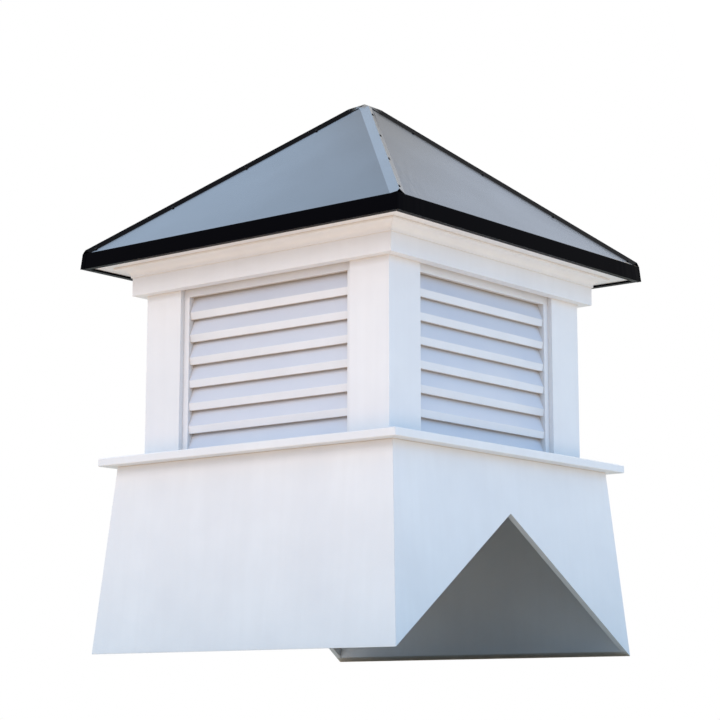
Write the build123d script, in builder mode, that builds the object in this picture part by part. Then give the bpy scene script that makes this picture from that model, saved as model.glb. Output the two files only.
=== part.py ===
"""Square louvered roof cupola: notched flared base, ledge, corner posts, louvers, frieze, crown and hipped metal roof.

Millimetres, +Z up. The origin lies under the centre, level with the lowest edges of the base.
The two side panels (left and right) carry the notch that straddles the ridge of the building,
so that ridge runs along X; the front panel faces -Y.
"""
import os
from math import atan, cos, radians, sqrt, tan

from build123d import *

os.makedirs("parts", exist_ok=True)

# Base: four flared boards
base_height = 337.0
base_flare = 27.5
base_board = 12.0
ridge_pitch = 34.4

# Ledge: four flat boards on top of the base
ledge_margin = 59.0
ledge_nosing = 25.0
ledge_thickness = 15.0
ledge_shelf = 5.5
ledge_round = 2.0

# Corner posts: one L-shaped board each
body_half = 285.0
post_width = 86.0
post_board = 9.5

# Frieze, crown and soffit
frieze_drop = 302.0
frieze_height = 34.0
frieze_thickness = 20.0
crown_height = 18.0
crown_foot = 2.5
crown_foot_height = 3.5
crown_projection = 25.0
crown_fillet = 4.0
soffit_shelf = 1.5
soffit_thickness = 9.5

# Louvers: a frame behind the posts of each side, with hooked blades between its stiles
frame_depth = 38.0
frame_gap = 3.5
stile_reveal = 12.5
header_drop = 12.0
frame_tuck = 20.0
blade_clearance = 2.0
blade_count = 6
blade_wall = 2.5
nose_height = 13.0
nose_lean = 2.0
nose_return = 8.0
nose_setback = 2.0
nose_bend = 4.0
nose_round = 1.0
blade_run = 14.0
blade_angle = 70.0
sill_height = 10.5

# Roof: sheet panels with a folded fascia and hem, and a folded cap on each hip
eave_overhang = 42.5
fascia_flare = 2.5
eave_rise = 25.5
roof_pitch = 39.6
roof_sheet = 2.0
hem_width = 12.5
hem_thickness = 3.8
cap_wide_leg = 15.0
cap_narrow_leg = 11.0
cap_offset = 4.0
cap_rise = 4.3
cap_sheet = 1.0
cap_bend = 31.0
peak_drop = 2.0
peak_lift = 2.5
peak_seat = 8.0
peak_opening = 17.5

# Half widths that follow from the sizes above
ledge_half = body_half + ledge_margin
base_top_half = ledge_half - ledge_nosing
base_bottom_half = base_top_half + base_flare
frame_face = body_half - post_board
frame_back = frame_face - frame_depth
frame_half = frame_back - frame_gap
ledge_inner_half = frame_back - ledge_shelf
soffit_inner_half = frame_back - soffit_shelf
frieze_half = body_half + frieze_thickness
crown_half = frieze_half + crown_projection
eave_half = crown_half + eave_overhang
fold_half = eave_half - fascia_flare

# Heights that follow from the sizes above
ledge_top = base_height + ledge_thickness
frieze_bottom = ledge_top + frieze_drop
crown_bottom = frieze_bottom + frieze_height
soffit_bottom = crown_bottom + crown_height
eave_bottom = soffit_bottom - hem_thickness
eave_top = soffit_bottom + eave_rise
roof_slope = tan(radians(roof_pitch))
apex_height = eave_top + fold_half * roof_slope

# Every board of a square ring is cut to its quarter by these two upright planes
mitre_right = Plane(origin=(0, 0, 0), z_dir=(1, 1, 0))
mitre_left = Plane(origin=(0, 0, 0), z_dir=(-1, 1, 0))


def section(points):
    """Closed outline in the YZ plane, as seen when looking along the front board."""
    with BuildSketch(Plane.YZ) as outline:
        with BuildLine():
            Polyline(*points, close=True)
        make_face()
    return outline.sketch


def cut_mitres():
    """Trim the board being built to the front quarter of the square."""
    split(bisect_by=mitre_right, keep=Keep.BOTTOM)
    split(bisect_by=mitre_left, keep=Keep.BOTTOM)


# Base panels
flare = base_flare / base_height
wall_run = base_board / cos(atan(flare))
ridge_slope = tan(radians(ridge_pitch))
bevel_rise = wall_run * ridge_slope / (1 - flare * ridge_slope)
base_outline = [
    (-base_bottom_half, 0),
    (-base_top_half, base_height),
    (-base_top_half + wall_run, base_height),
    (-base_bottom_half + wall_run + flare * bevel_rise, bevel_rise),
]

with BuildPart() as base_panel_front:
    extrude(section(base_outline), amount=base_bottom_half, both=True)
    cut_mitres()

with BuildPart() as base_panel_back:
    add(base_panel_front.part.rotate(Axis.Z, 180))

notch_peak = base_bottom_half * ridge_slope
with BuildPart() as base_panel_right:
    add(base_panel_front.part.rotate(Axis.Z, 90))
    with BuildSketch(Plane.YZ) as notch:
        with BuildLine():
            Polyline(
                (-base_bottom_half, 0),
                (0, notch_peak),
                (base_bottom_half, 0),
                (base_bottom_half, -base_board),
                (-base_bottom_half, -base_board),
                close=True,
            )
        make_face()
    extrude(amount=base_bottom_half, mode=Mode.SUBTRACT)

with BuildPart() as base_panel_left:
    add(base_panel_right.part.rotate(Axis.Z, 180))

# Ledge boards, with the outer edges rounded
with BuildPart() as ledge_front:
    with BuildSketch(Plane.YZ) as ledge_section:
        with Locations((-(ledge_half + ledge_inner_half) / 2, base_height + ledge_thickness / 2)):
            Rectangle(ledge_half - ledge_inner_half, ledge_thickness)
        fillet(ledge_section.vertices().group_by(Axis.X)[0], radius=ledge_round)
    extrude(amount=ledge_half, both=True)
    cut_mitres()

with BuildPart() as ledge_back:
    add(ledge_front.part.rotate(Axis.Z, 180))

with BuildPart() as ledge_right:
    add(ledge_front.part.rotate(Axis.Z, 90))

with BuildPart() as ledge_left:
    add(ledge_front.part.rotate(Axis.Z, 270))

# Corner posts
with BuildPart() as post_front_right:
    with BuildSketch(Plane.XY.offset(ledge_top)):
        with Locations((body_half, -body_half)):
            Rectangle(post_width, post_width, align=(Align.MAX, Align.MIN))
        with Locations((body_half - post_board, -body_half + post_board)):
            Rectangle(
                post_width - post_board,
                post_width - post_board,
                align=(Align.MAX, Align.MIN),
                mode=Mode.SUBTRACT,
            )
    extrude(amount=soffit_bottom - ledge_top)

with BuildPart() as post_back_right:
    add(post_front_right.part.rotate(Axis.Z, 90))

with BuildPart() as post_back_left:
    add(post_front_right.part.rotate(Axis.Z, 180))

with BuildPart() as post_front_left:
    add(post_front_right.part.rotate(Axis.Z, 270))

# Louver frames: stiles, header and a sloping sill in one moulding
opening_half = body_half - post_width - stile_reveal
header_bottom = frieze_bottom - header_drop
frame_top = frieze_bottom + frame_tuck
nose_face = frame_face - nose_setback
blade_slope = tan(radians(blade_angle))
blade_pitch = (header_bottom - ledge_top - sill_height + nose_height) / (blade_count + 1)
header_rebate = nose_height + blade_run * blade_slope - blade_pitch + blade_clearance
sill_crest_run = min(blade_run, frame_depth - nose_setback)

with BuildPart() as louver_frame_front:
    with BuildSketch(Plane.XZ.offset(frame_face)):
        with Locations((0, (ledge_top + frame_top) / 2)):
            Rectangle(2 * frame_half, frame_top - ledge_top)
        with Locations((0, (ledge_top + header_bottom) / 2)):
            Rectangle(2 * opening_half, header_bottom - ledge_top, mode=Mode.SUBTRACT)
    extrude(amount=-frame_depth)
    extrude(
        section(
            [
                (-nose_face + nose_return, header_bottom),
                (-nose_face + nose_return, header_bottom + header_rebate),
                (-frame_back, header_bottom + header_rebate),
                (-frame_back, header_bottom),
            ]
        ),
        amount=opening_half,
        both=True,
        mode=Mode.SUBTRACT,
    )
    extrude(
        section(
            [
                (-nose_face, ledge_top),
                (-nose_face, ledge_top + sill_height),
                (-nose_face + sill_crest_run, ledge_top + sill_height + sill_crest_run * blade_slope),
                (-nose_face + sill_crest_run, ledge_top),
            ]
        ),
        amount=opening_half,
        both=True,
    )

with BuildPart() as louver_frame_back:
    add(louver_frame_front.part.rotate(Axis.Z, 180))

with BuildPart() as louver_frame_right:
    add(louver_frame_front.part.rotate(Axis.Z, 90))

with BuildPart() as louver_frame_left:
    add(louver_frame_front.part.rotate(Axis.Z, 270))

# Louver blades: an upright nose with a hooked foot, and a blade rising inward behind the nose above
blade_drop = blade_wall / cos(radians(blade_angle))
blade_outline = [
    (nose_lean, 0),
    (0, nose_height),
    (blade_run, nose_height + blade_run * blade_slope),
    (blade_run, nose_height + blade_run * blade_slope - blade_drop),
    (blade_wall, nose_height + blade_wall * blade_slope - blade_drop),
    (nose_lean + blade_wall, blade_wall),
    (nose_return, blade_wall),
    (nose_return, 0),
]

with BuildPart() as louver_blades_front:
    for blade in range(1, blade_count + 1):
        nose_foot = header_bottom - blade * blade_pitch
        with BuildSketch(Plane.YZ) as blade_section:
            with BuildLine():
                Polyline(
                    *[(-nose_face + inward, nose_foot + up) for inward, up in blade_outline],
                    close=True,
                )
            make_face()
            fillet(blade_section.vertices().sort_by(Axis.X)[0], radius=nose_bend)
            fillet(blade_section.vertices().group_by(Axis.Y)[0].sort_by(Axis.X)[0], radius=nose_round)
        extrude(amount=opening_half, both=True)

with BuildPart() as louver_blades_back:
    add(louver_blades_front.part.rotate(Axis.Z, 180))

with BuildPart() as louver_blades_right:
    add(louver_blades_front.part.rotate(Axis.Z, 90))

with BuildPart() as louver_blades_left:
    add(louver_blades_front.part.rotate(Axis.Z, 270))

# Frieze boards over the tops of the posts
with BuildPart() as frieze_front:
    extrude(
        section(
            [
                (-frieze_half, frieze_bottom),
                (-frieze_half, soffit_bottom),
                (-body_half, soffit_bottom),
                (-body_half, frieze_bottom),
            ]
        ),
        amount=frieze_half,
        both=True,
    )
    cut_mitres()

with BuildPart() as frieze_back:
    add(frieze_front.part.rotate(Axis.Z, 180))

with BuildPart() as frieze_right:
    add(frieze_front.part.rotate(Axis.Z, 90))

with BuildPart() as frieze_left:
    add(frieze_front.part.rotate(Axis.Z, 270))

# Crown mouldings: a small foot, a cove and a square fillet under the soffit
cove_start = (-frieze_half - crown_foot, crown_bottom + crown_foot_height)
cove_end = (-crown_half, soffit_bottom - crown_fillet)

with BuildPart() as crown_front:
    with BuildSketch(Plane.YZ):
        with BuildLine():
            Polyline(
                cove_end,
                (-crown_half, soffit_bottom),
                (-frieze_half, soffit_bottom),
                (-frieze_half, crown_bottom),
                (-frieze_half - crown_foot, crown_bottom),
                cove_start,
            )
            EllipticalCenterArc(
                (cove_end[0], cove_start[1]),
                x_radius=cove_start[0] - cove_end[0],
                y_radius=cove_end[1] - cove_start[1],
                start_angle=0,
                arc_size=90,
            )
        make_face()
    extrude(amount=crown_half, both=True)
    cut_mitres()

with BuildPart() as crown_back:
    add(crown_front.part.rotate(Axis.Z, 180))

with BuildPart() as crown_right:
    add(crown_front.part.rotate(Axis.Z, 90))

with BuildPart() as crown_left:
    add(crown_front.part.rotate(Axis.Z, 270))

# Soffit boards, resting on the hem of the roof panels and on the walls
with BuildPart() as soffit_front:
    extrude(
        section(
            [
                (-fold_half + roof_sheet, soffit_bottom),
                (-fold_half + roof_sheet, soffit_bottom + soffit_thickness),
                (-soffit_inner_half, soffit_bottom + soffit_thickness),
                (-soffit_inner_half, soffit_bottom),
            ]
        ),
        amount=eave_half,
        both=True,
    )
    cut_mitres()

with BuildPart() as soffit_back:
    add(soffit_front.part.rotate(Axis.Z, 180))

with BuildPart() as soffit_right:
    add(soffit_front.part.rotate(Axis.Z, 90))

with BuildPart() as soffit_left:
    add(soffit_front.part.rotate(Axis.Z, 270))

# Roof panels: sloping sheet, flared fascia and inturned hem, open at the peak under the hip caps
sheet_drop = roof_sheet / cos(radians(roof_pitch))
hem_corner = roof_sheet + fascia_flare * hem_thickness / (eave_top - eave_bottom)
peak_edge = Plane.XY.offset(apex_height - peak_opening * roof_slope)
roof_outline = [
    (-eave_half, eave_bottom),
    (-fold_half, eave_top),
    (0, apex_height),
    (0, apex_height - sheet_drop),
    (-fold_half + roof_sheet, eave_top + roof_sheet * roof_slope - sheet_drop),
    (-eave_half + hem_corner, soffit_bottom),
    (-eave_half + hem_width, soffit_bottom),
    (-eave_half + hem_width, eave_bottom),
]

with BuildPart() as roof_panel_front:
    extrude(section(roof_outline), amount=eave_half, both=True)
    cut_mitres()
    split(bisect_by=peak_edge, keep=Keep.BOTTOM)

with BuildPart() as roof_panel_back:
    add(roof_panel_front.part.rotate(Axis.Z, 180))

with BuildPart() as roof_panel_right:
    add(roof_panel_front.part.rotate(Axis.Z, 90))

with BuildPart() as roof_panel_left:
    add(roof_panel_front.part.rotate(Axis.Z, 270))

# Hip caps: a folded strip standing on both panels with its ridge a little to one side of the hip,
# bent back to the hip and flatter at its top end to close the peak
hip_fall = roof_slope / sqrt(2)
wide_foot = cap_wide_leg - cap_offset
narrow_foot = cap_narrow_leg + cap_offset
wide_fall = (cap_rise + hip_fall * wide_foot) / cap_wide_leg
narrow_fall = (cap_rise + hip_fall * narrow_foot) / cap_narrow_leg
cap_drop = cap_sheet * sqrt(1 + wide_fall * narrow_fall + hip_fall**2)
wide_seat = wide_foot - cap_drop / (wide_fall - hip_fall)
narrow_seat = narrow_foot - cap_drop / (narrow_fall - hip_fall)


def cap_outline(reach, offset, ridge_height, edge_lift, left_seat, right_seat):
    """Upright section of a cap at this reach from the centre, its edges this far off the panels."""
    hip_height = apex_height - hip_fall * reach
    left_foot = cap_wide_leg - offset
    right_foot = cap_narrow_leg + offset
    return [
        (-left_foot, hip_height - hip_fall * left_foot + edge_lift),
        (-left_seat, hip_height - hip_fall * left_seat),
        (offset, ridge_height - cap_drop),
        (right_seat, hip_height - hip_fall * right_seat),
        (right_foot, hip_height - hip_fall * right_foot + edge_lift),
        (offset, ridge_height),
    ]


bend_offset = cap_bend / sqrt(2)
bend_plane = Plane(origin=(-bend_offset, -bend_offset, 0), x_dir=(1, -1, 0), z_dir=(-1, -1, 0))
peak_plane = Plane(origin=(0, 0, 0), x_dir=(1, -1, 0), z_dir=(-1, -1, 0))
bend_ridge = apex_height + cap_rise - hip_fall * cap_bend
bend_outline = cap_outline(cap_bend, cap_offset, bend_ridge, 0, wide_seat, narrow_seat)
peak_outline = cap_outline(0, 0, apex_height - peak_drop, peak_lift, peak_seat, peak_seat)

with BuildPart() as hip_cap_front_left:
    with BuildSketch(bend_plane) as bend_section:
        with BuildLine():
            Polyline(*bend_outline, close=True)
        make_face()
    extrude(amount=2 * eave_half, dir=(-1, -1, -roof_slope))
    with BuildSketch(peak_plane) as peak_section:
        with BuildLine():
            Polyline(*peak_outline, close=True)
        make_face()
    loft([bend_section.sketch, peak_section.sketch], ruled=True)
    split(bisect_by=Plane(origin=(-fold_half, 0, 0), z_dir=(1, 0, 0)), keep=Keep.TOP)
    split(bisect_by=Plane(origin=(0, -fold_half, 0), z_dir=(0, 1, 0)), keep=Keep.TOP)
    split(bisect_by=Plane.YZ, keep=Keep.BOTTOM)
    split(bisect_by=Plane.XZ, keep=Keep.TOP)

with BuildPart() as hip_cap_front_right:
    add(hip_cap_front_left.part.rotate(Axis.Z, 90))

with BuildPart() as hip_cap_back_right:
    mirror(hip_cap_front_left.part, about=mitre_right)

with BuildPart() as hip_cap_back_left:
    mirror(hip_cap_front_right.part, about=mitre_left)

base_panel_front.part.label = "base_panel_front"
base_panel_back.part.label = "base_panel_back"
base_panel_right.part.label = "base_panel_right"
base_panel_left.part.label = "base_panel_left"
ledge_front.part.label = "ledge_front"
ledge_back.part.label = "ledge_back"
ledge_right.part.label = "ledge_right"
ledge_left.part.label = "ledge_left"
post_front_right.part.label = "post_front_right"
post_back_right.part.label = "post_back_right"
post_back_left.part.label = "post_back_left"
post_front_left.part.label = "post_front_left"
louver_frame_front.part.label = "louver_frame_front"
louver_frame_back.part.label = "louver_frame_back"
louver_frame_right.part.label = "louver_frame_right"
louver_frame_left.part.label = "louver_frame_left"
louver_blades_front.part.label = "louver_blades_front"
louver_blades_back.part.label = "louver_blades_back"
louver_blades_right.part.label = "louver_blades_right"
louver_blades_left.part.label = "louver_blades_left"
frieze_front.part.label = "frieze_front"
frieze_back.part.label = "frieze_back"
frieze_right.part.label = "frieze_right"
frieze_left.part.label = "frieze_left"
crown_front.part.label = "crown_front"
crown_back.part.label = "crown_back"
crown_right.part.label = "crown_right"
crown_left.part.label = "crown_left"
soffit_front.part.label = "soffit_front"
soffit_back.part.label = "soffit_back"
soffit_right.part.label = "soffit_right"
soffit_left.part.label = "soffit_left"
roof_panel_front.part.label = "roof_panel_front"
roof_panel_back.part.label = "roof_panel_back"
roof_panel_right.part.label = "roof_panel_right"
roof_panel_left.part.label = "roof_panel_left"
hip_cap_front_left.part.label = "hip_cap_front_left"
hip_cap_front_right.part.label = "hip_cap_front_right"
hip_cap_back_right.part.label = "hip_cap_back_right"
hip_cap_back_left.part.label = "hip_cap_back_left"

export_step(base_panel_front.part, "parts/base_panel_front.step")
export_step(base_panel_back.part, "parts/base_panel_back.step")
export_step(base_panel_right.part, "parts/base_panel_right.step")
export_step(base_panel_left.part, "parts/base_panel_left.step")
export_step(ledge_front.part, "parts/ledge_front.step")
export_step(ledge_back.part, "parts/ledge_back.step")
export_step(ledge_right.part, "parts/ledge_right.step")
export_step(ledge_left.part, "parts/ledge_left.step")
export_step(post_front_right.part, "parts/post_front_right.step")
export_step(post_back_right.part, "parts/post_back_right.step")
export_step(post_back_left.part, "parts/post_back_left.step")
export_step(post_front_left.part, "parts/post_front_left.step")
export_step(louver_frame_front.part, "parts/louver_frame_front.step")
export_step(louver_frame_back.part, "parts/louver_frame_back.step")
export_step(louver_frame_right.part, "parts/louver_frame_right.step")
export_step(louver_frame_left.part, "parts/louver_frame_left.step")
export_step(louver_blades_front.part, "parts/louver_blades_front.step")
export_step(louver_blades_back.part, "parts/louver_blades_back.step")
export_step(louver_blades_right.part, "parts/louver_blades_right.step")
export_step(louver_blades_left.part, "parts/louver_blades_left.step")
export_step(frieze_front.part, "parts/frieze_front.step")
export_step(frieze_back.part, "parts/frieze_back.step")
export_step(frieze_right.part, "parts/frieze_right.step")
export_step(frieze_left.part, "parts/frieze_left.step")
export_step(crown_front.part, "parts/crown_front.step")
export_step(crown_back.part, "parts/crown_back.step")
export_step(crown_right.part, "parts/crown_right.step")
export_step(crown_left.part, "parts/crown_left.step")
export_step(soffit_front.part, "parts/soffit_front.step")
export_step(soffit_back.part, "parts/soffit_back.step")
export_step(soffit_right.part, "parts/soffit_right.step")
export_step(soffit_left.part, "parts/soffit_left.step")
export_step(roof_panel_front.part, "parts/roof_panel_front.step")
export_step(roof_panel_back.part, "parts/roof_panel_back.step")
export_step(roof_panel_right.part, "parts/roof_panel_right.step")
export_step(roof_panel_left.part, "parts/roof_panel_left.step")
export_step(hip_cap_front_left.part, "parts/hip_cap_front_left.step")
export_step(hip_cap_front_right.part, "parts/hip_cap_front_right.step")
export_step(hip_cap_back_right.part, "parts/hip_cap_back_right.step")
export_step(hip_cap_back_left.part, "parts/hip_cap_back_left.step")
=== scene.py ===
"""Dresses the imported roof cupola.

It adds the finishes, softened edges, roof screws and fascia laps, and sets up the lamps, the
world, the floor and the camera. Lengths are in metres, in the frame of the CAD.
"""
import math

import bmesh
import bpy
from mathutils import Euler, Matrix, Vector


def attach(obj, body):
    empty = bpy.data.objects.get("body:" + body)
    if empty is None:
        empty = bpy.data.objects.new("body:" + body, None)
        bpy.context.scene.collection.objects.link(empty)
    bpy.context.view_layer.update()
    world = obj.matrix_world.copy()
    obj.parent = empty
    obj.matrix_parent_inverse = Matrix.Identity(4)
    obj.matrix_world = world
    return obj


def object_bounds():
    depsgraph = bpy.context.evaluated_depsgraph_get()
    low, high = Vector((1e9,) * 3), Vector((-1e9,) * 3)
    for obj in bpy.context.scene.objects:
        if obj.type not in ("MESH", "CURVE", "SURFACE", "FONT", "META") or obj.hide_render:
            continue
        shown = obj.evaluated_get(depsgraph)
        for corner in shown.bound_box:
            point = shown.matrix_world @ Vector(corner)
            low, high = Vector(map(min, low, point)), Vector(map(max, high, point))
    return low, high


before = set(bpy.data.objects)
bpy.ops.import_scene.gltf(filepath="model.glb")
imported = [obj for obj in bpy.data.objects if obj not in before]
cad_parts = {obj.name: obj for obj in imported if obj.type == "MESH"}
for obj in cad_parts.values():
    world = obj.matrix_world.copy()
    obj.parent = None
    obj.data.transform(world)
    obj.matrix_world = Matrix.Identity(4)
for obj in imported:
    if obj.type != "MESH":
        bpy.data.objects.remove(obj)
cad_low, cad_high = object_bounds()

MM = 0.001
SIDES = ("front", "right", "back", "left")

# Colours in linear light; a pair is what a finish varies between
BOARD_WHITES = (0.735, 0.735, 0.75), (0.785, 0.785, 0.795)
BOARD_STREAK = (0.72, 0.715, 0.72)
BOARD_DUST = (0.56, 0.54, 0.51)
# Painted shade colour for the boards' joints and inner corners
BOARD_CORNER_SHADE = (0.62, 0.54, 0.45)
LOUVER_WHITES = (0.715, 0.72, 0.74), (0.76, 0.765, 0.785)
# Painted grey-blue shade for the upward slopes of the louver blades
LOUVER_SLOPE_SHADE = (0.57, 0.60, 0.68)
LOUVER_DUST = (0.58, 0.56, 0.54)
# Painted shade colour for the louvers' joints, inner corners and recesses under the blade noses
LOUVER_CORNER_SHADE = (0.50, 0.43, 0.36)
# Each black pair: the metal's black, then a lighter blue-black painted on its upward slopes as a
# painted sky reflection
SHEET_BLACK_AND_SKY_SHEEN = (0.0016, 0.0016, 0.0026), (0.007, 0.008, 0.011)
CAP_BLACK_AND_SKY_SHEEN = (0.0016, 0.0016, 0.0026), (0.007, 0.007, 0.009)
SCREW_BLACKS = (0.002, 0.002, 0.003), (0.008, 0.008, 0.009)
FLOOR_TANS = (0.70, 0.61, 0.49), (0.73, 0.64, 0.52)
SKY_BLUE = (0.51, 0.74, 1.0)
WHITE = (1.0, 1.0, 1.0)

PLASTIC_IOR = 1.45
FULL_GLOSS = 0.5


def node_tree(name):
    """A new material, with its node tree and its shader."""
    material = bpy.data.materials.new(name)
    material.use_nodes = True
    tree = material.node_tree
    return material, tree, tree.nodes["Principled BSDF"]


def wire(tree, shader, **outputs):
    """Links each output to the shader's socket of that name."""
    for name, output in outputs.items():
        tree.links.new(output, shader.inputs[name.replace("_", " ")])


def worked(tree, operation, *values):
    """The result of a Math node."""
    node = tree.nodes.new("ShaderNodeMath")
    node.operation = operation
    for socket, value in zip(node.inputs, values):
        tree.links.new(value, socket)
    return node.outputs["Value"]


def times(tree, first, second):
    return worked(tree, "MULTIPLY", first, second)


def remapped(tree, value, start, end, first=0, last=1, smooth=False):
    """Maps start..end onto first..last, and holds the value beyond them."""
    node = tree.nodes.new("ShaderNodeMapRange")
    if smooth:
        node.interpolation_type = "SMOOTHSTEP"
    node.inputs["From Min"].default_value = start
    node.inputs["From Max"].default_value = end
    node.inputs["To Min"].default_value = first
    node.inputs["To Max"].default_value = last
    tree.links.new(value, node.inputs["Value"])
    return node.outputs["Result"]


def noise(tree, scale, detail=3, stretch=(1, 1, 1), place=None):
    """Fractal noise in cycles per metre, in the CAD's frame unless another place is given."""
    if place is None:
        place = tree.nodes.new("ShaderNodeTexCoord").outputs["Object"]
    mapping = tree.nodes.new("ShaderNodeMapping")
    mapping.inputs["Scale"].default_value = [scale * share for share in stretch]
    tree.links.new(place, mapping.inputs["Vector"])
    texture = tree.nodes.new("ShaderNodeTexNoise")
    texture.inputs["Scale"].default_value = 1
    texture.inputs["Detail"].default_value = detail
    tree.links.new(mapping.outputs["Vector"], texture.inputs["Vector"])
    return texture.outputs["Fac"]


def spread(tree, pattern, first=0, last=1):
    """Maps the middle of a noise, where most of it lies, onto first..last."""
    return remapped(tree, pattern, 0.3, 0.7, first, last)


def blend(tree, factor, first, second):
    """Mixes two colours, each a tuple or an output."""
    mix = tree.nodes.new("ShaderNodeMix")
    mix.data_type = "RGBA"
    tree.links.new(factor, mix.inputs["Factor"])
    for socket, value in ((mix.inputs["A"], first), (mix.inputs["B"], second)):
        if isinstance(value, tuple):
            socket.default_value = (*value, 1)
        else:
            tree.links.new(value, socket)
    return mix.outputs["Result"]


def bump(tree, height, distance, strength, under=None):
    """A bumped normal, on top of another one where that is given."""
    node = tree.nodes.new("ShaderNodeBump")
    node.inputs["Strength"].default_value = strength
    node.inputs["Distance"].default_value = distance
    tree.links.new(height, node.inputs["Height"])
    if under is not None:
        tree.links.new(under, node.inputs["Normal"])
    return node.outputs["Normal"]


def split_axes(tree, vector):
    """The X, Y and Z of a vector, by name."""
    split = tree.nodes.new("ShaderNodeSeparateXYZ")
    tree.links.new(vector, split.inputs["Vector"])
    return split.outputs


def up_facing(tree, none, full):
    """Goes from 0 to 1 as the Z of the surface normal goes from none to full.

    That Z is -1 on an underside, 0 on an upright face and 1 on a level top.
    """
    geometry = tree.nodes.new("ShaderNodeNewGeometry")
    return remapped(tree, split_axes(tree, geometry.outputs["Normal"])["Z"], none, full)


def corner_shaded(tree, colour, reach, shade_colour):
    """The colour with painted shade in joints and inner corners, up to this far from them.

    Upright faces get a quarter of the painted shade that sloping and level ones do.
    """
    corners = tree.nodes.new("ShaderNodeAmbientOcclusion")
    corners.samples = 8
    corners.inputs["Distance"].default_value = reach
    # Painted shade: darker, towards a tan-brown, where ambient occlusion finds surfaces close by
    corner_shade = remapped(tree, corners.outputs["AO"], 0.85, 0.25)
    upright = times(tree, up_facing(tree, -0.3, -0.1), up_facing(tree, 0.3, 0.1))
    shade_share = remapped(tree, upright, 0, 1, 1, 0.25)
    return blend(tree, times(tree, corner_shade, shade_share), colour, shade_colour)


def painted_board():
    """Satin white cellular board: faint mottling, run-off streaks, settled dust on its tops."""
    material, tree, shader = node_tree("satin_white_board")
    mottling = spread(tree, noise(tree, 9))
    streaks = spread(tree, noise(tree, 60, stretch=(1, 1, 0.03)), 0, 0.35)
    dust = times(tree, up_facing(tree, 0.5, 0.95), spread(tree, noise(tree, 40, 5), 0.15, 0.6))
    clean = blend(tree, streaks, blend(tree, mottling, *BOARD_WHITES), BOARD_STREAK)
    dusted = blend(tree, dust, clean, BOARD_DUST)
    roller = bump(tree, noise(tree, 330, 2), 0.25 * MM, 0.35)
    wire(
        tree,
        shader,
        # Painted shade in joints and inner corners
        Base_Color=corner_shaded(tree, dusted, 11 * MM, BOARD_CORNER_SHADE),
        Roughness=spread(tree, noise(tree, 120), 0.42, 0.58),
        Normal=bump(tree, noise(tree, 14, 2), 1.2 * MM, 0.15, roller),
    )
    shader.inputs["IOR"].default_value = PLASTIC_IOR
    return material


def moulded_louver():
    """Extruded louver stock: a little cooler and glossier than the boards.

    It has faint draw lines, painted grey-blue shade on its slopes and dust on its tops.
    """
    material, tree, shader = node_tree("satin_white_louver")
    mottling = spread(tree, noise(tree, 11))
    # Painted shade: the upward blade slopes turn grey-blue in patches, as sky-lit shade
    slope_tint = times(tree, up_facing(tree, 0.1, 0.3), spread(tree, noise(tree, 7), 0.75, 1))
    dust = times(tree, up_facing(tree, 0.35, 0.9), spread(tree, noise(tree, 50, 5), 0.1, 0.5))
    slope_tinted = blend(tree, slope_tint, blend(tree, mottling, *LOUVER_WHITES), LOUVER_SLOPE_SHADE)
    dusted = blend(tree, dust, slope_tinted, LOUVER_DUST)
    draw_lines = noise(tree, 420, 2, stretch=(0.02, 0.02, 1))
    wire(
        tree,
        shader,
        # Painted shade in joints, inner corners and the recesses under the blade noses
        Base_Color=corner_shaded(tree, dusted, 20 * MM, LOUVER_CORNER_SHADE),
        Roughness=spread(tree, noise(tree, 150), 0.34, 0.48),
        Normal=bump(tree, draw_lines, 0.12 * MM, 0.3),
    )
    shader.inputs["IOR"].default_value = PLASTIC_IOR
    return material


def hip_crimps(tree):
    """Creases that run beside each hip, from half way down to the eave.

    They lie on the two panels that face along X only, and fade out away from the hip.
    """
    place = split_axes(tree, tree.nodes.new("ShaderNodeTexCoord").outputs["Object"])
    sizes = [worked(tree, "ABSOLUTE", place[axis]) for axis in ("X", "Y")]
    down, aside = (worked(tree, operation, *sizes) for operation in ("ADD", "SUBTRACT"))
    along_hip = tree.nodes.new("ShaderNodeCombineXYZ")
    tree.links.new(down, along_hip.inputs["X"])
    tree.links.new(aside, along_hip.inputs["Y"])
    folds = noise(tree, 1, 2, stretch=(9, 50, 1), place=along_hip.outputs["Vector"])
    near_eave = remapped(tree, down, 0.30, 0.55, smooth=True)
    near_hip = remapped(tree, aside, 0.03, 0.13, 1, 0, smooth=True)
    past_hip = remapped(tree, aside, 0, 0.004, smooth=True)
    return times(tree, times(tree, folds, near_eave), times(tree, near_hip, past_hip))


def painted_sheet(name, black_and_sky_sheen, ior, dent, crimp):
    """Gloss black coil-coated sheet: orange peel, slight oil-canning, creases beside the hips.

    Its gloss is full on the slopes and at a grazing look, weak on upright faces and on its
    uncoated underside.
    """
    material, tree, shader = node_tree(name)
    # Painted sky reflection: faces that look up take a patchy, lighter blue-black than the
    # upright fascia
    slope_tint = times(tree, spread(tree, noise(tree, 6)), up_facing(tree, 0.62, 0.71))
    look = tree.nodes.new("ShaderNodeLayerWeight")
    grazing = remapped(tree, look.outputs["Facing"], 0.5, 0.68)
    shining = worked(tree, "MAXIMUM", grazing, up_facing(tree, 0.74, 0.765))
    coated = times(tree, shining, up_facing(tree, -0.6, -0.2))
    peel = bump(tree, noise(tree, 700, 2), 0.06 * MM, 0.12)
    canned = bump(tree, noise(tree, 5.5, 1), dent, 0.5, peel)
    wire(
        tree,
        shader,
        Base_Color=blend(tree, slope_tint, *black_and_sky_sheen),
        Roughness=spread(tree, noise(tree, 8), 0.175, 0.205),
        Specular_IOR_Level=remapped(tree, coated, 0, 1, 0.05, FULL_GLOSS),
        Normal=bump(tree, hip_crimps(tree), crimp, 0.6, canned),
    )
    shader.inputs["IOR"].default_value = ior
    return material


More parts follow.
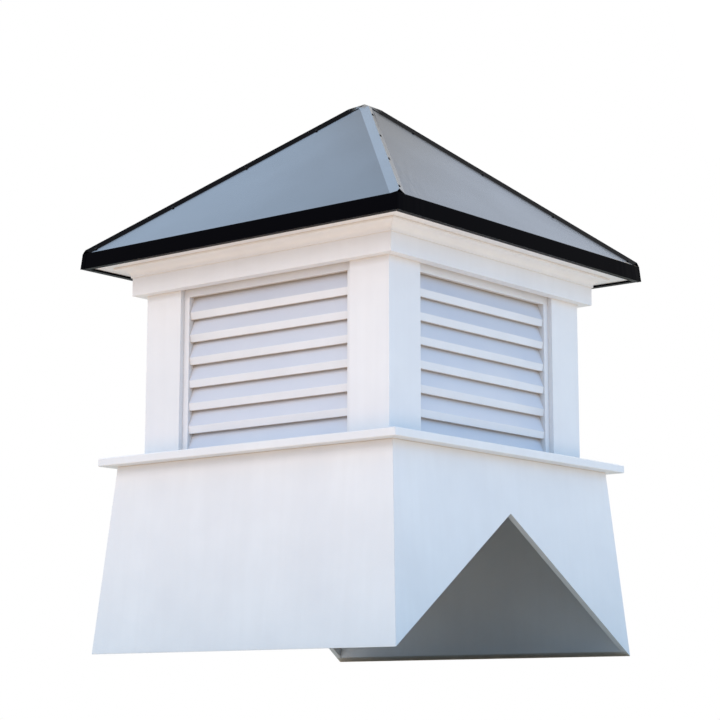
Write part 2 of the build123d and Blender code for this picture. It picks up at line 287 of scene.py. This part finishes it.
def painted_screw():
    """Dull black screw paint, worn a little towards grey in patches."""
    material, tree, shader = node_tree("dull_black_screw")
    worn = spread(tree, noise(tree, 400))
    wire(
        tree,
        shader,
        Base_Color=blend(tree, worn, *SCREW_BLACKS),
        Roughness=spread(tree, noise(tree, 900, 2), 0.5, 0.65),
    )
    shader.inputs["Specular IOR Level"].default_value = 0.1
    return material


board = painted_board()
louver = moulded_louver()
sheet = painted_sheet("gloss_black_sheet", SHEET_BLACK_AND_SKY_SHEEN, 1.2, dent=0.6 * MM, crimp=1.6 * MM)
cap_metal = painted_sheet("gloss_black_cap", CAP_BLACK_AND_SKY_SHEEN, 1.31, dent=0.5 * MM, crimp=0.1 * MM)
screw_paint = painted_screw()

# The finish of each material slot, and how wide its edges are softened
dress_of_slot = {
    "trim_board": (board, 0.5 * MM),
    "louver": (louver, 0.4 * MM),
    "roof_sheet": (sheet, 0.9 * MM),
    "hip_cap": (cap_metal, 0.3 * MM),
}


def soften(piece, width):
    """Breaks the sharp edges of a CAD node, so that they catch the light."""
    weld = piece.modifiers.new("weld", "WELD")
    weld.merge_threshold = 0.01 * MM
    flat = piece.modifiers.new("join_flats", "DECIMATE")
    flat.decimate_type = "DISSOLVE"
    flat.angle_limit = math.radians(0.2)
    bevel = piece.modifiers.new("edge", "BEVEL")
    bevel.limit_method = "ANGLE"
    bevel.angle_limit = math.radians(35)
    bevel.width = width
    bevel.segments = 2
    bevel.harden_normals = True


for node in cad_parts.values():
    finish, edge_width = dress_of_slot[node.material_slots[0].material.name]
    node.material_slots[0].material = finish
    soften(node, edge_width)


def show(item):
    bpy.context.scene.collection.objects.link(item)


def make_piece(name, build, finish):
    """Makes one mesh piece of the object, riding on the body."""
    shape = bmesh.new()
    build(shape)
    bmesh.ops.recalc_face_normals(shape, faces=shape.faces)
    mesh = bpy.data.meshes.new(name)
    shape.to_mesh(mesh)
    shape.free()
    mesh.materials.append(finish)
    piece = bpy.data.objects.new(name, mesh)
    show(piece)
    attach(piece, "root")


def turned(shape, profile, place, steps=20):
    """Adds a body of revolution; the profile is (radius, height) from its foot to its crown."""
    rings = []
    for radius, height in profile:
        count = steps if radius else 1
        turns = [2 * math.pi * i / count for i in range(count)]
        points = [(radius * math.cos(turn), radius * math.sin(turn), height) for turn in turns]
        rings.append([shape.verts.new(place @ Vector(point)) for point in points])
    for lower, upper in zip(rings, rings[1:]):
        for i in range(steps):
            j = (i + 1) % steps
            if len(upper) == 1:
                corners = (lower[i], lower[j], upper[0])
            elif len(lower) == 1:
                corners = (lower[0], upper[j], upper[i])
            else:
                corners = (lower[i], lower[j], upper[j], upper[i])
            shape.faces.new(corners).smooth = True


# Sizes and slopes of the hip caps, as in the CAD
ridge_fall = math.tan(math.radians(39.6)) / math.sqrt(2)
cap_rise = 4.3 * MM
cap_offset = 4 * MM
cap_narrow_leg = 11 * MM
peak_drop = 2 * MM
ridge_apex = cad_high.z + peak_drop + cap_rise
leg_fall = (cap_rise + ridge_fall * (cap_narrow_leg + cap_offset)) / cap_narrow_leg

# Small dome-head screws through the narrow leg of each hip cap
screw_profile = [
    (0, -1.0 * MM),
    (1.4 * MM, -1.0 * MM),
    (2.6 * MM, -0.3 * MM),
    (2.6 * MM, 0.4 * MM),
    (1.9 * MM, 1.1 * MM),
    (0, 1.5 * MM),
]
# Signs of x and y, hand of the cap, how far its screws lie from the ridge, and how far out they
# are from the centre: close to the ridge on the near corner of the photograph, and close to the
# foot of the leg on the others
cap_corners = {
    "front_right": (1, -1, 1, 2.4 * MM, (0.082, 0.215, 0.351, 0.498)),
    "back_right": (1, 1, -1, 8.4 * MM, (0.092, 0.224, 0.358, 0.500)),
    "back_left": (-1, 1, -1, 8.4 * MM, (0.092, 0.224, 0.358, 0.500)),
    "front_left": (-1, -1, 1, 8.4 * MM, (0.093, 0.224, 0.360, 0.500)),
}

for corner, setting in cap_corners.items():

    def cap_screws(shape, setting=setting):
        x_sign, y_sign, hand, inset, reaches = setting
        out = Vector((x_sign, y_sign, 0)).normalized()
        across = Vector((0, 0, hand)).cross(out)
        normal = (out * ridge_fall + across * leg_fall + Vector((0, 0, 1))).normalized()
        tilt = normal.to_track_quat("Z", "Y").to_matrix().to_4x4()
        for reach in reaches:
            height = ridge_apex - ridge_fall * reach - leg_fall * inset
            foot = out * reach + across * (cap_offset + inset) + Vector((0, 0, height))
            turned(shape, screw_profile, Matrix.Translation(foot) @ tilt)

    make_piece(f"cap_screws_{corner}", cap_screws, screw_paint)

# Fascia laps: the end of each fascia is folded round its corner onto the next one. Their heights
# and the half width at the fold are the CAD's
eave_bottom = 702.2 * MM
eave_top = 731.5 * MM
fold_half = 370 * MM
lap_width = 9 * MM
lap_sheet = 0.6 * MM

for turn, side in enumerate(SIDES):

    def fascia_lap(shape, turn=turn):
        quarter = Matrix.Rotation(turn * math.pi / 2, 4, "Z")
        ends = []
        for half, height in ((cad_high.x, eave_bottom), (fold_half, eave_top)):
            outline = (
                (-half - lap_sheet, -lap_sheet),
                (-half - lap_sheet, lap_sheet),
                (-half + lap_width, lap_sheet),
                (-half + lap_width, -lap_sheet),
            )
            points = [Vector((x, -half - out, height)) for x, out in outline]
            ends.append([shape.verts.new(quarter @ point) for point in points])
        lower, upper = ends
        shape.faces.new(lower)
        shape.faces.new(upper)
        for i in range(4):
            j = (i + 1) % 4
            shape.faces.new((lower[i], lower[j], upper[j], upper[i]))

    make_piece(f"fascia_lap_{side}", fascia_lap, sheet)


def one_sided_floor():
    """A pale floor seen and lit from above only: the photograph looks up from below it."""
    material, tree, shader = node_tree("pale_floor")
    patches = spread(tree, noise(tree, 2.5))
    wire(tree, shader, Base_Color=blend(tree, patches, *FLOOR_TANS))
    shader.inputs["Roughness"].default_value = 0.9
    shader.inputs["Specular IOR Level"].default_value = 0.2
    geometry = tree.nodes.new("ShaderNodeNewGeometry")
    clear = tree.nodes.new("ShaderNodeBsdfTransparent")
    mix = tree.nodes.new("ShaderNodeMixShader")
    tree.links.new(geometry.outputs["Backfacing"], mix.inputs["Fac"])
    tree.links.new(shader.outputs["BSDF"], mix.inputs[1])
    tree.links.new(clear.outputs["BSDF"], mix.inputs[2])
    tree.links.new(mix.outputs["Shader"], tree.nodes["Material Output"].inputs["Surface"])
    return material


floor_radius = 12
floor_drop = 0.5 * MM
floor_shape = bmesh.new()
bmesh.ops.create_circle(floor_shape, cap_ends=True, radius=floor_radius, segments=96)
floor_mesh = bpy.data.meshes.new("floor")
floor_shape.to_mesh(floor_mesh)
floor_shape.free()
floor_mesh.materials.append(one_sided_floor())
floor = bpy.data.objects.new("floor", floor_mesh)
floor.location.z = -floor_drop
show(floor)

# The world lights matt surfaces in pale blue; the camera, reflections and glass see plain white
world = bpy.data.worlds.new("studio")
bpy.context.scene.world = world
world.use_nodes = True
sky = world.node_tree
lighting = sky.nodes["Background"]
lighting.inputs["Color"].default_value = (*SKY_BLUE, 1)
lighting.inputs["Strength"].default_value = 1.05
backdrop = sky.nodes.new("ShaderNodeBackground")
backdrop.inputs["Color"].default_value = (*WHITE, 1)
backdrop.inputs["Strength"].default_value = 1
rays = sky.nodes.new("ShaderNodeLightPath")
sees_white = rays.outputs["Is Camera Ray"]
for kind in ("Is Glossy Ray", "Is Transmission Ray"):
    sees_white = worked(sky, "MAXIMUM", sees_white, rays.outputs[kind])
choose = sky.nodes.new("ShaderNodeMixShader")
sky.links.new(sees_white, choose.inputs["Fac"])
sky.links.new(lighting.outputs["Background"], choose.inputs[1])
sky.links.new(backdrop.outputs["Background"], choose.inputs[2])
sky.links.new(choose.outputs["Shader"], sky.nodes["World Output"].inputs["Surface"])


def softbox(name, place, target, size, watts, tint, shown=True):
    lamp = bpy.data.lights.new(name, "AREA")
    lamp.shape = "SQUARE"
    lamp.size = size
    lamp.energy = watts
    lamp.color = tint
    holder = bpy.data.objects.new(name, lamp)
    holder.location = place
    holder.visible_camera = shown
    holder.rotation_euler = (Vector(target) - Vector(place)).to_track_quat("-Z", "Y").to_euler()
    show(holder)


# The roof mirrors the two sky lamps; the two bounce lamps lie on the floor, unseen by the camera
BODY = (0, 0, 0.5)
ROOF = (0, 0, 0.85)
softbox("key_front", (-0.4, -4.6, 3.2), BODY, 2.4, 97, (0.90, 0.76, 0.68))
softbox("fill_right", (4.4, -0.9, 2.6), BODY, 2.4, 33, (0.18, 0.48, 1.0))
softbox("sky_left", (-3.56, 0.85, 4.03), ROOF, 2.6, 48.8, (0.43, 0.67, 1.0))
softbox("sky_back", (-0.48, 3.78, 3.05), ROOF, 2.2, 13, (0.46, 0.66, 1.0))
softbox("fill_back", (0.1, 4.7, 2.3), BODY, 2.0, 60, (1.0, 0.76, 0.42))
softbox("fill_left", (-4.7, 0.1, 1.8), BODY, 2.0, 42, (1.0, 0.74, 0.38))
softbox("bounce_front", (0, -2, 3 * MM), (0, -2, 1), 2.4, 18, (1.0, 0.46, 0.12), shown=False)
softbox("bounce_right", (2, 0, 3 * MM), (2, 0, 1), 2.4, 21, (1.0, 0.74, 0.54), shown=False)

# The camera that was fitted to the photograph's straight edges
camera_data = bpy.data.cameras.new("photo_view")
camera_data.sensor_width = 36
camera_data.lens = 103.57
camera_data.shift_x = -0.0080
camera_data.shift_y = -0.0409
camera_data.clip_start = 0.05
camera = bpy.data.objects.new("photo_view", camera_data)
camera.location = (2.3972, -2.9404, -0.1056)
azimuth, elevation, roll = (math.radians(angle) for angle in (39.1565, -10.508, 0.0213))
heading = Euler((math.pi / 2 - elevation, 0, azimuth)).to_matrix()
camera.rotation_euler = (heading @ Matrix.Rotation(roll, 3, "Z")).to_euler()
show(camera)
bpy.context.scene.camera = camera

bpy.context.scene.view_settings.view_transform = "Standard"
